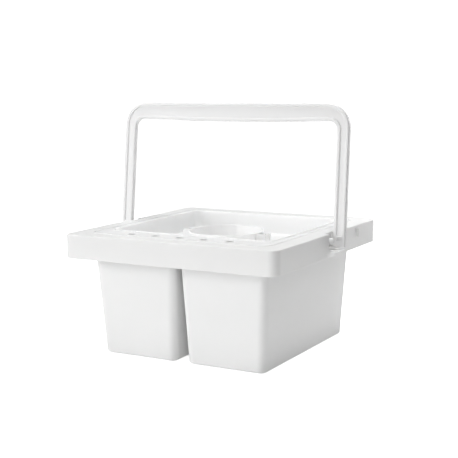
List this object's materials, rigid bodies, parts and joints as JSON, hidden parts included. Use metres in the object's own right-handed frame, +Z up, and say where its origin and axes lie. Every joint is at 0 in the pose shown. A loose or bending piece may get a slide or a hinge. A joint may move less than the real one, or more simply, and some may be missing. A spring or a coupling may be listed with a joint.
{
  "type": "cleaning caddy",
  "caption": "Square carry caddy with deep tapered tubs, a lift-out tray with tool holes, a round cup and a folding bail handle.",
  "frame": {"origin": "centre of the footprint, on the surface the tubs stand on", "axes": "+X along the front towards the right tub, +Y to the back, +Z up"},
  "size_m": [0.3686, 0.3332, 0.3482],
  "materials": {
    "body_plastic": "satin white",
    "tray_plastic": "satin white",
    "cup_plastic": "satin white",
    "handle_plastic": "satin white",
    "pin_plastic": "satin white"
  },
  "bodies": {
    "caddy": {"caddy_body": "body_plastic", "pivot_bracket_left": "body_plastic", "pivot_bracket_right": "body_plastic"},
    "tray": {"insert_tray": "tray_plastic"},
    "cup": {"round_cup": "cup_plastic"},
    "bail": {"handle": "handle_plastic", "pivot_pin_left": "pin_plastic", "pivot_pin_right": "pin_plastic"}
  },
  "joints": [
    {"name": "handle_fold", "type": "hinge", "parent": "caddy", "child": "bail", "pos_m": [0, 0.005, 0.16], "axis": [1, 0, 0], "range_deg": [-76.5, 90.2]},
    {"name": "tray_lift", "type": "slide", "parent": "caddy", "child": "tray", "axis": [0, 0, 1], "range_m": [0, 0.06]},
    {"name": "cup_lift", "type": "slide", "parent": "tray", "child": "cup", "axis": [0, 0, 1], "range_m": [0, 0.045]}
  ]
}
